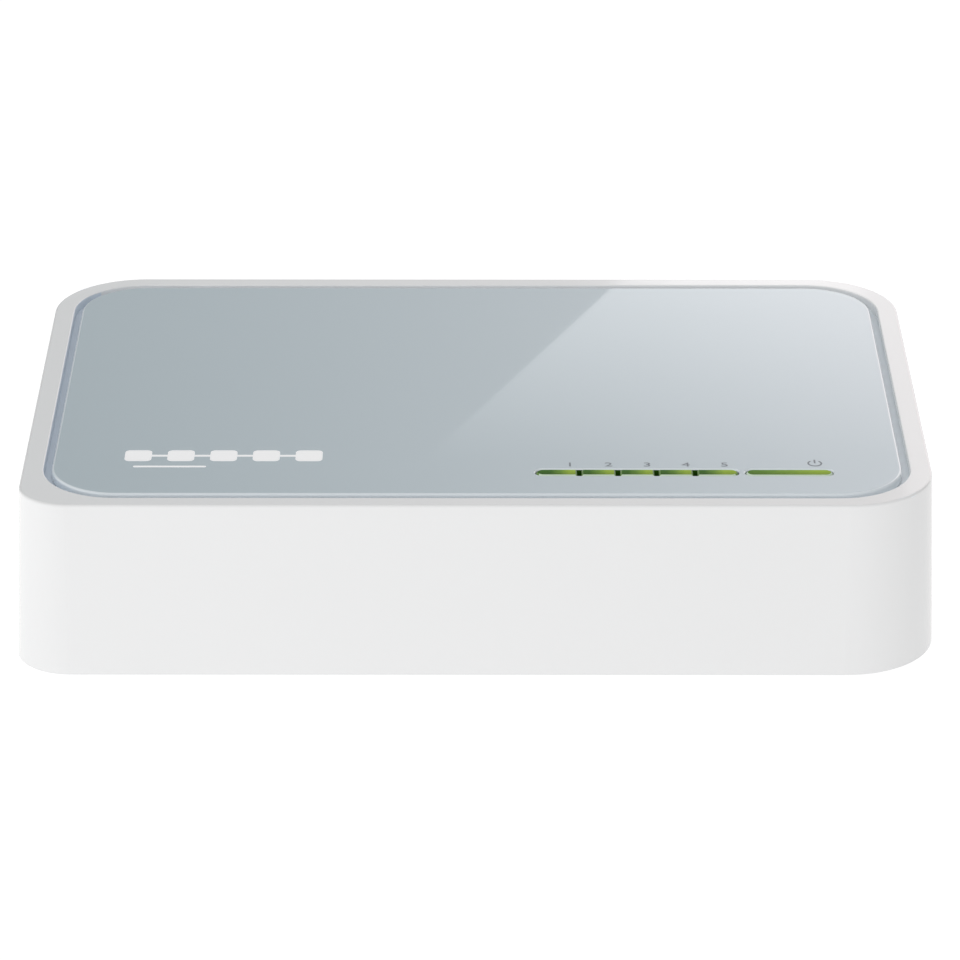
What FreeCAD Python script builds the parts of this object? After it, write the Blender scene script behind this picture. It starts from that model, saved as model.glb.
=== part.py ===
import FreeCAD, Part
import math
import os

# Five-port desktop network switch. Millimetres.
# Origin: centre of the footprint, on the surface the feet stand on.
# +X to the right seen from the lights, -Y towards the lights, +Y towards the sockets, +Z up.

V = FreeCAD.Vector
TINY = 1e-6
OVERLAP = 0.2  # how far joined shapes reach into each other before they become one

# Case
CASE_WIDTH = 103.5
CASE_DEPTH = 70.0
OVERALL_HEIGHT = 21.75
FOOT_HEIGHT = 1.3
PANEL_PROUD = 0.05
RIM_TOP = OVERALL_HEIGHT - PANEL_PROUD
SIDE_DRAFT = 0.75
CORNER_RADII = (6.3, 10.5, 11.1, 11.3)
TOP_EDGE_RADIUS = 0.3
WALL = 2.0
CEILING = 19.7
BASE_THICKNESS = 1.5
BASE_TOP = FOOT_HEIGHT + BASE_THICKNESS
BASE_GAP = 0.15

# Top panel and the recess that it lies in
RECESS_SIZE = (97.2, 64.2)
RECESS_FLOOR = 20.6
RECESS_RADIUS = 8.3
RECESS_EDGE_RADIUS = 0.15
PANEL_SIZE = (95.4, 62.4)
PANEL_RADIUS = 7.6
PANEL_EDGE_RADIUS = 0.3
ADHESIVE_THICKNESS = 0.1
ADHESIVE_INSET = 0.8

# Light windows
LIGHT_Y = -25.15
LIGHT_HEIGHT = 1.66
PORT_LIGHTS_X = (6.63, 29.26)
POWER_LIGHT_X = (30.15, 39.85)
DIVIDER_FIRST_X = 11.46
DIVIDER_PITCH = 4.33
DIVIDER_WIDTH = 0.52
LIGHT_BEVEL = 0.18
LIGHT_GAP = 0.1
WINDOW_CHAMFER = 0.15
GUIDE_WEB_Z = (18.4, CEILING)
GUIDE_WEB_END = 0.3
GUIDE_WEB_WIDTH = 3.0
GUIDE_LEG_SIZE = (2.6, 1.3)
GUIDE_BOTTOM = 8.4

# Circuit board
BOARD_BOTTOM = 5.4
BOARD_THICKNESS = 1.6
BOARD_TOP = BOARD_BOTTOM + BOARD_THICKNESS
BOARD_X = (-42.5, 42.5)
BOARD_Y = (-29.0, 31.5)
TAIL_BOTTOM = 3.6
BOARD_SCREW_POSTS = ((-38.0, -14.0), (38.0, -14.0))
BOARD_PEG_POSTS = ((-38.0, -2.5), (38.0, -2.5))

# Network sockets, one ganged block
PORTS = 5
PORT_PITCH = 14.0
PORT_BLOCK_X = -5.5
PORT_BLOCK_WIDTH = 71.4
PORT_FACE_Y = 34.0
PORT_BACK_Y = 15.7
PORT_TOP = 19.3
PLUG_WIDTH = 11.9
PLUG_Z = (10.5, 17.4)
PLUG_STOP_Y = 22.2
LATCH_Z = 9.0
LATCH_WIDTH = 6.4
LEVER_Z = 7.9
LEVER_WIDTH = 3.6
LATCH_LIP = 1.6
BLOCK_PEG_Y = 24.0

# Socket contacts: strips bent round the front edge of the insert's tongue
CONTACTS = 8
CONTACT_PITCH = 1.02
CONTACT_WIDTH = 0.46
CONTACT_THICKNESS = 0.3
CONTACT_AXIS_Y = 32.0
CONTACT_AXIS_Z = 18.0
CONTACT_BEND = 0.4
CONTACT_SLOPE_DEG = 13.5
CONTACT_LENGTH = 10.3
TONGUE_HALF = 0.2
TAIL_ROWS_Y = (16.8, 19.3)
SPLIT_GAP = 0.03

# Power jack
JACK_X = 36.5
JACK_WIDTH = 9.0
JACK_FACE_Y = 34.2
JACK_BACK_Y = 20.0
JACK_TOP = 18.0
JACK_AXIS_Z = 13.5
JACK_BORE_RADIUS = 3.15
JACK_BORE_BACK_Y = 22.0
JACK_PIN_RADIUS = 1.0
JACK_PIN_TIP_Y = 33.2
JACK_SHANK_RADIUS = 1.3
JACK_SHANK_BACK_Y = 19.0
PRESS_GAP = 0.02
LEAF_AXIS_Y = 22.8
LEAF_AXIS_Z = 9.65
LEAF_BEND = 0.4
LEAF_THICKNESS = 0.3
LEAF_WIDTH = 3.0

# Larger pieces on the board
SWITCH_IC = (-6.0, -9.0)
SWITCH_IC_SIDE = 10.0
MAGNETICS_Y = 9.2

# Openings in the rear wall
OPENING_GAP = 0.25
UPSTAND_TOP = BOARD_TOP - 0.25

# Underside
FEET = {
    "foot_front_left": (-38.5, -24.5),
    "foot_front_right": (38.5, -24.5),
    "foot_rear_right": (38.5, 24.5),
    "foot_rear_left": (-38.5, 24.5),
}
FOOT_RADIUS = 4.0
FOOT_SEAT = 0.4
CASE_SCREWS = ((-45.9, 24.0), (45.9, 24.0))
KEYHOLE_X = (-30.0, 30.0)
KEYHOLE_HEAD_RADIUS = 3.5
KEYHOLE_NECK_WIDTH = 3.6
KEYHOLE_TRAVEL = 6.5
LABEL_SIZE = (40.0, 19.0)
LABEL_SEAT = 0.2
SNAP_X = (-25.0, 25.0)


def span(centre, size):
    """The two ends of a length centred on a place."""
    return (centre - size / 2, centre + size / 2)


def box(x, y, z):
    """A box from its ends along X, Y and Z."""
    return Part.makeBox(x[1] - x[0], y[1] - y[0], z[1] - z[0], V(x[0], y[0], z[0]))


def post(x, y, radius, z):
    """An upright cylinder."""
    return Part.makeCylinder(radius, z[1] - z[0], V(x, y, z[0]))


def rod_along_y(x, z, radius, y):
    """A cylinder that lies along Y."""
    return Part.makeCylinder(radius, y[1] - y[0], V(x, y[0], z), V(0, 1, 0))


def single(shape):
    """The one solid in a shape, with its flush faces joined."""
    clean = shape.removeSplitter()
    if len(clean.Solids) != 1:
        raise ValueError(f"expected one solid, found {len(clean.Solids)}")
    return clean.Solids[0]


def group(shapes):
    return Part.makeCompound(shapes)


def outline(width, depth, z, radii, centre=(0.0, 0.0)):
    """A rectangle with round corners: front left, front right, back right, back left."""
    sides = ((-1, -1), (1, -1), (1, 1), (-1, 1))
    starts = (180, 270, 0, 90)
    corners = []
    for radius, side, start in zip(radii, sides, starts):
        x = centre[0] + side[0] * (width / 2 - radius)
        y = centre[1] + side[1] * (depth / 2 - radius)
        angles = [math.radians(start + turn) for turn in (0, 45, 90)]
        corners.append([V(x + radius * math.cos(a), y + radius * math.sin(a), z) for a in angles])
    edges = []
    for corner, following in zip(corners, corners[1:] + corners[:1]):
        edges.append(Part.Arc(*corner).toShape())
        if corner[2].distanceToPoint(following[0]) > TINY:
            edges.append(Part.LineSegment(corner[2], following[0]).toShape())
    return Part.Wire(edges)


def plate(width, depth, z, radii, centre=(0.0, 0.0)):
    """An upright prism on a rectangle with round corners."""
    face = Part.Face(outline(width, depth, z[0], radii, centre))
    return face.extrude(V(0, 0, z[1] - z[0]))


def pill(x, y, z):
    """An upright prism with half-round ends, from its ends along X and Y."""
    width, depth = x[1] - x[0], y[1] - y[0]
    radius = min(width, depth) / 2
    return plate(width, depth, z, (radius,) * 4, (sum(x) / 2, sum(y) / 2))


def grown(ends, gap):
    return (ends[0] - gap, ends[1] + gap)


def strip_side(points, offset, radius):
    """Edges along the left side of a path in the YZ plane, with a round bend at each inner point."""
    edges = []
    start = None
    for i, point in enumerate(points):
        ahead = (points[i + 1] - point).normalize() if i + 1 < len(points) else None
        behind = (point - points[i - 1]).normalize() if i else None
        if behind is None:
            start = point + V(0, -ahead.z, ahead.y) * offset
            continue
        left = V(0, -behind.z, behind.y)
        if ahead is None:
            edges.append((start, point + left * offset))
            continue
        turn = math.atan2(behind.y * ahead.z - behind.z * ahead.y, behind.dot(ahead))
        back = radius * math.tan(abs(turn) / 2)
        way = math.copysign(1, turn)
        bend_from = point - behind * back
        centre = bend_from + left * (way * radius)
        middle = centre + (point - centre).normalize() * (radius - way * offset)
        bend_start = bend_from + left * offset
        bend_end = point + ahead * back + V(0, -ahead.z, ahead.y) * offset
        edges.append((start, bend_start))
        edges.append((bend_start, middle, bend_end))
        start = bend_end
    return edges


def bent_strip(path, thickness, width, radius, x=0.0):
    """A flat strip of metal that follows a path of (y, z) points, centred on x."""
    points = [V(x - width / 2, y, z) for y, z in path]
    sides = strip_side(points, thickness / 2, radius)
    back = strip_side(points[::-1], thickness / 2, radius)
    chain = sides + [(sides[-1][-1], back[0][0])] + back + [(back[-1][-1], sides[0][0])]
    edges = []
    for ends in chain:
        if len(ends) == 3:
            edges.append(Part.Arc(*ends).toShape())
        elif ends[0].distanceToPoint(ends[1]) > TINY:
            edges.append(Part.LineSegment(*ends).toShape())
    return Part.Face(Part.Wire(edges)).extrude(V(width, 0, 0))


def u_bend(axis_y, axis_z, radius, slope_deg, way, length):
    """Points of a strip that turns back round an axis, then runs on at a slope from the level.

    way is 1 where it comes over the top of the axis and bends at its +Y side, and -1 where it
    comes under the axis and bends at its -Y side.
    """
    turn = math.radians(180 - slope_deg)
    reach = radius * math.tan(turn / 4)
    points = [(axis_y, axis_z + way * radius)]
    heading = 0.0 if way > 0 else math.pi
    step = reach
    for leg in (2 * reach, reach + length):
        last = points[-1]
        points.append((last[0] + step * math.cos(heading), last[1] + step * math.sin(heading)))
        heading -= turn / 2
        step = leg
    last = points[-1]
    points.append((last[0] + step * math.cos(heading), last[1] + step * math.sin(heading)))
    return points


def cross_screw(x, y, head_radius, head_z, shank_radius, shank_z, head_up):
    """A screw with a cross recess. head_z and shank_z are its ends along Z."""
    recess_depth = 0.6 * (head_z[1] - head_z[0])
    recess_z = (head_z[1] - recess_depth, head_z[1]) if head_up else (head_z[0], head_z[0] + recess_depth)
    screw = post(x, y, head_radius, head_z).fuse(post(x, y, shank_radius, shank_z))
    length, width = 1.2 * head_radius, 0.28 * head_radius
    bars = [
        box(span(x, length), span(y, width), recess_z),
        box(span(x, width), span(y, length), recess_z),
    ]
    return single(screw.cut(bars))


# ---------------------------------------------------------------- case


def case_outline(z, inset):
    """The case's outline at a height, moved in from the outer faces."""
    share = (z - FOOT_HEIGHT) / (RIM_TOP - FOOT_HEIGHT)
    inward = inset + SIDE_DRAFT * share
    radii = [radius - inward for radius in CORNER_RADII]
    return outline(CASE_WIDTH - 2 * inward, CASE_DEPTH - 2 * inward, z, radii)


def drafted(z, inset):
    """A solid between two heights whose sides lean in like the case's."""
    return Part.makeLoft([case_outline(z[0], inset), case_outline(z[1], inset)], True, True)


def port_centres():
    middle = (PORTS - 1) / 2
    return [PORT_BLOCK_X + (i - middle) * PORT_PITCH for i in range(PORTS)]


def divider_centres():
    return [DIVIDER_FIRST_X + i * DIVIDER_PITCH for i in range(PORTS - 1)]


def light_segments():
    """The ends along X of the five port lights."""
    starts = [PORT_LIGHTS_X[0]] + [x + DIVIDER_WIDTH / 2 for x in divider_centres()]
    ends = [x - DIVIDER_WIDTH / 2 for x in divider_centres()] + [PORT_LIGHTS_X[1]]
    return list(zip(starts, ends))


def windows(z, gap):
    """The two long windows for the lights, as prisms."""
    y = grown(span(LIGHT_Y, LIGHT_HEIGHT), gap)
    return [pill(grown(x, gap), y, z) for x in (PORT_LIGHTS_X, POWER_LIGHT_X)]


def light_heads():
    """The five port lights and the power light, flush with the panel, with a bevel round each top."""
    z = (GUIDE_WEB_Z[1] - OVERLAP, OVERALL_HEIGHT)
    row, power = windows(z, 0.0)
    heads = [row.common(box(ends, span(LIGHT_Y, LIGHT_HEIGHT), z)) for ends in light_segments()]
    bevelled = []
    for head in heads + [power]:
        top_edges = [e for e in head.Edges if e.BoundBox.ZMin > z[1] - TINY]
        bevelled.append(head.makeChamfer(LIGHT_BEVEL, top_edges))
    return bevelled


def rear_openings():
    """What the rear wall leaves out for the sockets, the power jack and the base's upstand."""
    y = (CASE_DEPTH / 2 - 2 * WALL, CASE_DEPTH / 2 + WALL)
    ports_x = grown(span(PORT_BLOCK_X, PORT_BLOCK_WIDTH), OPENING_GAP)
    jack_x = grown(span(JACK_X, JACK_WIDTH), OPENING_GAP)
    low = FOOT_HEIGHT - 1
    return [
        box(ports_x, y, (low, PORT_TOP + OPENING_GAP)),
        box(jack_x, y, (low, JACK_TOP + OPENING_GAP)),
        box((ports_x[0], jack_x[1]), y, (low, BOARD_TOP - OPENING_GAP / 2)),
    ]


def snap_pockets():
    depth = 0.9
    front = -CASE_DEPTH / 2 + WALL
    y = (front - depth, front + WALL)
    return [box(span(x, 9.2), y, (6.1, 7.6)) for x in SNAP_X]


def recessed(shell):
    """The shell with the top panel's recess, whose upper edge is just broken."""
    shell = shell.cut(plate(*RECESS_SIZE, (RECESS_FLOOR, OVERALL_HEIGHT), (RECESS_RADIUS,) * 4))
    edges = [
        e
        for e in shell.Edges
        if e.BoundBox.ZMin > RIM_TOP - TINY
        and e.BoundBox.XLength < RECESS_SIZE[0] + TINY
        and e.BoundBox.YLength < RECESS_SIZE[1] + TINY
        and abs(e.BoundBox.Center.x) < RECESS_SIZE[0] / 2 + TINY
        and abs(e.BoundBox.Center.y) < RECESS_SIZE[1] / 2 + TINY
    ]
    return shell.makeFillet(RECESS_EDGE_RADIUS, edges)


def make_top_cover():
    boss_radius, pilot_radius = 2.75, 1.32
    pilot_top = 13.0
    outside = drafted((FOOT_HEIGHT, RIM_TOP), 0.0)
    rim_edges = [e for e in outside.Edges if e.BoundBox.ZMin > RIM_TOP - TINY]
    shell = outside.makeFillet(TOP_EDGE_RADIUS, rim_edges)
    shell = shell.cut(drafted((FOOT_HEIGHT, CEILING), WALL))
    shell = recessed(shell).cut(rear_openings() + snap_pockets())
    boss_z = (BASE_TOP + 1.5, CEILING + OVERLAP)
    shell = shell.fuse([post(x, y, boss_radius, boss_z) for x, y in CASE_SCREWS])
    shell = shell.cut([post(x, y, pilot_radius, (boss_z[0], pilot_top)) for x, y in CASE_SCREWS])
    return single(shell.cut(windows((CEILING - 1, OVERALL_HEIGHT), LIGHT_GAP)))


def make_top_panel():
    z = (RECESS_FLOOR + ADHESIVE_THICKNESS, OVERALL_HEIGHT)
    panel = plate(*PANEL_SIZE, z, (PANEL_RADIUS,) * 4)
    top_edges = [e for e in panel.Edges if e.BoundBox.ZMin > z[1] - TINY]
    panel = panel.makeFillet(PANEL_EDGE_RADIUS, top_edges)
    panel = panel.cut(windows(z, LIGHT_GAP))
    reach = max(PORT_LIGHTS_X[1], POWER_LIGHT_X[1]) + 1
    edges = [
        e
        for e in panel.Edges
        if e.BoundBox.ZMin > z[1] - TINY
        and e.BoundBox.XMin > PORT_LIGHTS_X[0] - 1
        and e.BoundBox.XMax < reach
        and abs(e.BoundBox.Center.y - LIGHT_Y) < LIGHT_HEIGHT
    ]
    return single(panel.makeChamfer(WINDOW_CHAMFER, edges))


def make_panel_adhesive():
    z = (RECESS_FLOOR, RECESS_FLOOR + ADHESIVE_THICKNESS)
    size = [side - 2 * ADHESIVE_INSET for side in PANEL_SIZE]
    sheet = plate(*size, z, (PANEL_RADIUS - ADHESIVE_INSET,) * 4)
    return single(sheet.cut(windows(z, 3 * LIGHT_GAP)))


# ---------------------------------------------------------------- base


def vent_slots(z):
    """Two rows of slots across the base, in front of the label and behind it."""
    width, length, pitch, per_row = 1.6, 9.0, 3.6, 17
    slots = []
    for y in (-17.5, 19.5):
        for i in range(per_row):
            x = (i - (per_row - 1) / 2) * pitch
            slots.append(pill(span(x, width), span(y, length), z))
    return slots


def keyholes(z):
    """Two keyholes: a screw head goes in at the round end, and its neck slides to +Y."""
    holes = []
    for x in KEYHOLE_X:
        head = post(x, 0, KEYHOLE_HEAD_RADIUS, z)
        neck = box(span(x, KEYHOLE_NECK_WIDTH), (0, KEYHOLE_TRAVEL), z)
        end = post(x, KEYHOLE_TRAVEL, KEYHOLE_NECK_WIDTH / 2, z)
        holes.append(head.fuse([neck, end]))
    return holes


def snap_arms():
    arm_y = (-32.6, -31.4)
    nose_y = (-33.3, -32.5)
    arms = []
    for x in SNAP_X:
        arms.append(box(span(x, 8.0), arm_y, (FOOT_HEIGHT, 7.4)))
        arms.append(box(span(x, 8.0), nose_y, (6.3, 7.4)))
    return arms


def rear_upstand():
    """The part of the rear wall under the sockets, with the case's lean on its outer face."""
    x = (
        PORT_BLOCK_X - PORT_BLOCK_WIDTH / 2 - OPENING_GAP + BASE_GAP,
        JACK_X + JACK_WIDTH / 2 + OPENING_GAP - BASE_GAP,
    )
    block = box(x, (CASE_DEPTH / 2 - WALL - 1, CASE_DEPTH / 2), (FOOT_HEIGHT, UPSTAND_TOP))
    return block.common(drafted((FOOT_HEIGHT, RIM_TOP), 0.0))


def make_base_cover():
    floor_z = (FOOT_HEIGHT, BASE_TOP)
    inward = WALL + BASE_GAP
    radii = [radius - inward for radius in CORNER_RADII]
    base = plate(CASE_WIDTH - 2 * inward, CASE_DEPTH - 2 * inward, floor_z, radii)

    post_radius, peg_radius = 2.6, 1.05
    cup_radius, cup_top = 3.6, BASE_TOP + 1.4
    added = [rear_upstand()] + snap_arms()
    added += [post(x, y, post_radius, (FOOT_HEIGHT, BOARD_BOTTOM)) for x, y in BOARD_SCREW_POSTS]
    added += [post(x, y, post_radius, (FOOT_HEIGHT, BOARD_BOTTOM)) for x, y in BOARD_PEG_POSTS]
    added += [post(x, y, peg_radius, (BOARD_BOTTOM, BOARD_TOP + 0.6)) for x, y in BOARD_PEG_POSTS]
    added += [post(x, y, cup_radius, (FOOT_HEIGHT, cup_top)) for x, y in CASE_SCREWS]
    base = base.fuse(added)

    head_seat_radius, shank_hole_radius, seat_top = 2.6, 1.45, FOOT_HEIGHT + 1.7
    pilot_radius = 1.27
    through = (FOOT_HEIGHT, OVERALL_HEIGHT)
    removed = vent_slots((FOOT_HEIGHT - 1, BASE_TOP + 1)) + keyholes((FOOT_HEIGHT - 1, BASE_TOP + 1))
    removed += [post(x, y, pilot_radius, (FOOT_HEIGHT + 0.6, through[1])) for x, y in BOARD_SCREW_POSTS]
    removed += [post(x, y, head_seat_radius, (FOOT_HEIGHT, seat_top)) for x, y in CASE_SCREWS]
    removed += [post(x, y, shank_hole_radius, through) for x, y in CASE_SCREWS]
    removed += [post(x, y, FOOT_RADIUS, (FOOT_HEIGHT, FOOT_HEIGHT + FOOT_SEAT)) for x, y in FEET.values()]
    removed.append(plate(*LABEL_SIZE, (FOOT_HEIGHT, FOOT_HEIGHT + LABEL_SEAT), (1.5,) * 4))
    return single(base.cut(removed))


def make_foot(x, y):
    foot = post(x, y, FOOT_RADIUS, (0, FOOT_HEIGHT + FOOT_SEAT))
    lower_edge = [e for e in foot.Edges if e.BoundBox.ZMax < TINY]
    return single(foot.makeFillet(0.4, lower_edge))


def make_rating_label():
    margin = 0.4
    size = [side - margin for side in LABEL_SIZE]
    top = FOOT_HEIGHT + LABEL_SEAT
    return plate(*size, (top - 0.15, top), (1.2,) * 4)


def make_case_screws():
    head_z = (FOOT_HEIGHT + 0.3, FOOT_HEIGHT + 1.7)
    return group([cross_screw(x, y, 2.3, head_z, 1.3, (head_z[1], 11.5), False) for x, y in CASE_SCREWS])


def make_pcb_screws():
    head_z = (BOARD_TOP, BOARD_TOP + 1.5)
    shank_z = (2.3, BOARD_TOP)
    return group([cross_screw(x, y, 2.4, head_z, 1.25, shank_z, True) for x, y in BOARD_SCREW_POSTS])


# ---------------------------------------------------------------- lights


def guide_web(window_x):
    """A flange against the underside of the case, too wide to pass the window."""
    return box(grown(window_x, GUIDE_WEB_END), span(LIGHT_Y, GUIDE_WEB_WIDTH), GUIDE_WEB_Z)


def guide_leg(x):
    """The part of a light pipe that reaches down to its light."""
    z = (GUIDE_BOTTOM, GUIDE_WEB_Z[0] + OVERLAP)
    return box(span(x, GUIDE_LEG_SIZE[0]), span(LIGHT_Y, GUIDE_LEG_SIZE[1]), z)


def make_port_light_guide():
    """Five light pipes, joined by one flange under the top of the case."""
    pieces = light_heads()[:PORTS]
    pieces.append(guide_web(PORT_LIGHTS_X))
    pieces += [guide_leg(sum(ends) / 2) for ends in light_segments()]
    return single(pieces[0].fuse(pieces[1:]))


def make_power_light_guide():
    leg = guide_leg(sum(POWER_LIGHT_X) / 2)
    return single(light_heads()[PORTS].fuse([guide_web(POWER_LIGHT_X), leg]))


def light_positions():
    """Where each light stands along X: five ports, then power."""
    return [sum(ends) / 2 for ends in light_segments()] + [sum(POWER_LIGHT_X) / 2]


def make_led_light_baffle():
    """A black block with one cell round each light and its pipe."""
    z = (BOARD_TOP, 18.2)
    block = box((5.0, 38.6), span(LIGHT_Y, 4.6), z)
    cells = [box(span(x, 3.5), span(LIGHT_Y, 2.3), z) for x in light_positions()]
    return single(block.cut(cells))


def make_led(x):
    """A flat light with a raised window."""
    body = box(span(x, 2.9), span(LIGHT_Y, 1.5), (BOARD_TOP, BOARD_TOP + 0.7))
    window = box(span(x, 1.9), span(LIGHT_Y, 1.3), (BOARD_TOP + 0.7, BOARD_TOP + 1.1))
    return single(body.fuse(window))


# ---------------------------------------------------------------- network sockets


def contact_xs():
    middle = (CONTACTS - 1) / 2
    return [(i - middle) * CONTACT_PITCH for i in range(CONTACTS)]


def fixed_contact_path(row_y):
    """From the split at the bend, back along the tongue and down through the board."""
    level = CONTACT_AXIS_Z + CONTACT_BEND
    return [(CONTACT_AXIS_Y - SPLIT_GAP, level), (row_y, level), (row_y, TAIL_BOTTOM)]


def fixed_contacts(gap):
    """The eight fixed contacts of one socket, or the grooves they lie in where gap isn't 0."""
    strips = []
    for i, x in enumerate(contact_xs()):
        path = fixed_contact_path(TAIL_ROWS_Y[i % 2])
        strips.append(bent_strip(path, CONTACT_THICKNESS + 2 * gap, CONTACT_WIDTH + 2 * gap, 0.5, x))
    return strips


def spring_contacts():
    """The eight spring fingers of one socket, from the bend to their free tips."""
    path = u_bend(CONTACT_AXIS_Y, CONTACT_AXIS_Z, CONTACT_BEND, CONTACT_SLOPE_DEG, 1, CONTACT_LENGTH)
    return [bent_strip(path, CONTACT_THICKNESS, CONTACT_WIDTH, CONTACT_BEND, x) for x in contact_xs()]


def one_insert():
    """The carrier of one socket's contacts: a block at the back, a tongue and a comb for the tips."""
    half = PLUG_WIDTH / 2
    block_front, bottom, tongue_width, rib_width = 20.4, BOARD_TOP + 0.9, 9.0, 0.3
    comb_z = (14.2, CONTACT_AXIS_Z)
    block = box((-half, half), (PORT_BACK_Y + 0.2, block_front), (bottom, PORT_TOP - 0.55))
    stop = box((-half, half), (block_front, PLUG_STOP_Y), (bottom, comb_z[0]))
    tongue_x = span(0, tongue_width)
    tongue = box(tongue_x, (block_front, CONTACT_AXIS_Y), span(CONTACT_AXIS_Z, 2 * TONGUE_HALF))
    edge_start = V(tongue_x[0], CONTACT_AXIS_Y, CONTACT_AXIS_Z)
    tongue_edge = Part.makeCylinder(TONGUE_HALF, tongue_width, edge_start, V(1, 0, 0))
    ribs = [
        box(span(x - CONTACT_PITCH / 2, rib_width), (block_front, PLUG_STOP_Y), comb_z)
        for x in contact_xs() + [contact_xs()[-1] + CONTACT_PITCH]
    ]
    insert = block.fuse([stop, tongue, tongue_edge] + ribs)
    return single(insert.cut(fixed_contacts(0.04)))


def port_cavity(x):
    """Everything that one socket leaves out of the block."""
    plug_x = span(x, PLUG_WIDTH)
    flare = 0.4
    out_y = PORT_FACE_Y + flare
    channel_z = (PLUG_Z[1] - OVERLAP, PORT_TOP - 0.55)
    mouth = Part.makeWedge(
        plug_x[0], PORT_FACE_Y - flare, PLUG_Z[0], PLUG_Z[0] - 2 * flare, plug_x[0] - 2 * flare,
        plug_x[1], out_y, PLUG_Z[1], PLUG_Z[1] + 2 * flare, plug_x[1] + 2 * flare,
    )
    return [
        box(plug_x, (PLUG_STOP_Y, out_y), PLUG_Z),
        mouth,
        box(span(x, LATCH_WIDTH), (27.0, out_y), (LATCH_Z, PLUG_Z[0] + OVERLAP)),
        box(span(x, LEVER_WIDTH), (27.0, out_y), (LEVER_Z, LATCH_Z + OVERLAP)),
        box(span(x, LATCH_WIDTH), (27.0, PORT_FACE_Y - LATCH_LIP), (LEVER_Z, LATCH_Z + OVERLAP)),
        box(grown(plug_x, 0.1), (PORT_BACK_Y - 1, PLUG_STOP_Y), (BOARD_TOP - 1, PORT_TOP - 0.45)),
        box(span(x, 9.4), (PLUG_STOP_Y - 1, CONTACT_AXIS_Y + 1.0), channel_z),
    ]


def block_pegs():
    """Pegs that hold the socket block on the board, under its second and fourth walls, as (x, y)."""
    return [(PORT_BLOCK_X + side * 1.5 * PORT_PITCH, BLOCK_PEG_Y) for side in (-1, 1)]


def make_rj45_housing():
    block = box(
        span(PORT_BLOCK_X, PORT_BLOCK_WIDTH), (PORT_BACK_Y, PORT_FACE_Y), (BOARD_TOP, PORT_TOP)
    )
    block = block.fuse([post(x, y, 1.5, (BOARD_BOTTOM - 0.9, BOARD_TOP)) for x, y in block_pegs()])
    cavities = []
    for x in port_centres():
        cavities += port_cavity(x)
    return single(block.cut(cavities))


# ---------------------------------------------------------------- power jack


def make_dc_jack_housing():
    flange_back, barrel_radius, body_y = 30.9, 4.2, (JACK_BACK_Y, 31.0)
    flange = box(span(JACK_X, JACK_WIDTH), (flange_back, JACK_FACE_Y), (BOARD_TOP, JACK_TOP))
    lower = box(span(JACK_X, 2 * barrel_radius), body_y, (BOARD_TOP, JACK_AXIS_Z))
    barrel = rod_along_y(JACK_X, JACK_AXIS_Z, barrel_radius, body_y)
    body = single(flange.fuse([lower, barrel]))
    flange_edges = [
        e
        for e in body.Edges
        if abs(e.BoundBox.YMax - JACK_FACE_Y) < TINY and e.BoundBox.ZMin > JACK_TOP - TINY
    ]
    body = body.makeFillet(0.6, flange_edges)
    body = body.cut(rod_along_y(JACK_X, JACK_AXIS_Z, JACK_BORE_RADIUS, (JACK_BORE_BACK_Y, JACK_FACE_Y + 1)))
    flare = 0.5
    mouth = Part.makeCone(
        JACK_BORE_RADIUS, JACK_BORE_RADIUS + 2 * flare, 2 * flare,
        V(JACK_X, JACK_FACE_Y - flare, JACK_AXIS_Z), V(0, 1, 0),
    )
    leaf_slot = box(span(JACK_X, LEAF_WIDTH + 0.4), (JACK_BORE_BACK_Y, 31.9), (8.8, JACK_AXIS_Z))
    pin_hole = rod_along_y(
        JACK_X, JACK_AXIS_Z, JACK_SHANK_RADIUS + PRESS_GAP, (JACK_BACK_Y - 1, JACK_BORE_BACK_Y + 1)
    )
    tail_hole = box(span(JACK_X, 2.6), span(25.5, 0.6), (BOARD_TOP - 1, JACK_AXIS_Z))
    side_groove = box((JACK_X + 3.7, JACK_X + 4.3), span(27.0, 2.6), (BOARD_TOP - 1, 12.5))
    return single(body.cut([mouth, leaf_slot, pin_hole, tail_hole, side_groove]))


def make_dc_jack_center_pin():
    """A free front that a plug goes over, a thicker shank in the housing and a riveted head."""
    head_radius, head_length, tip_round = 1.8, 0.5, 0.6
    head_front = JACK_SHANK_BACK_Y + head_length
    front = rod_along_y(JACK_X, JACK_AXIS_Z, JACK_PIN_RADIUS, (head_front, JACK_PIN_TIP_Y))
    tip_edge = [e for e in front.Edges if e.BoundBox.YMin > JACK_PIN_TIP_Y - TINY]
    shank = rod_along_y(JACK_X, JACK_AXIS_Z, JACK_SHANK_RADIUS, (JACK_SHANK_BACK_Y, JACK_BORE_BACK_Y))
    head = rod_along_y(JACK_X, JACK_AXIS_Z, head_radius, (JACK_SHANK_BACK_Y, head_front))
    return single(front.makeFillet(tip_round, tip_edge).fuse([shank, head]))


def make_dc_jack_spring():
    """The leaf that presses on a plug's sleeve: a bend, a long slope up and a lead-in at its free end."""
    path = u_bend(LEAF_AXIS_Y, LEAF_AXIS_Z, LEAF_BEND, -8.0, -1, 0.0)
    slope = math.radians(8.0)
    run, lead_in = 6.6, (1.7, -1.0)
    foot = path.pop()
    top = (foot[0] + run * math.cos(slope), foot[1] + run * math.sin(slope))
    path += [top, (top[0] + lead_in[0], top[1] + lead_in[1])]
    return bent_strip(path, LEAF_THICKNESS, LEAF_WIDTH, LEAF_BEND, JACK_X)


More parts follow.
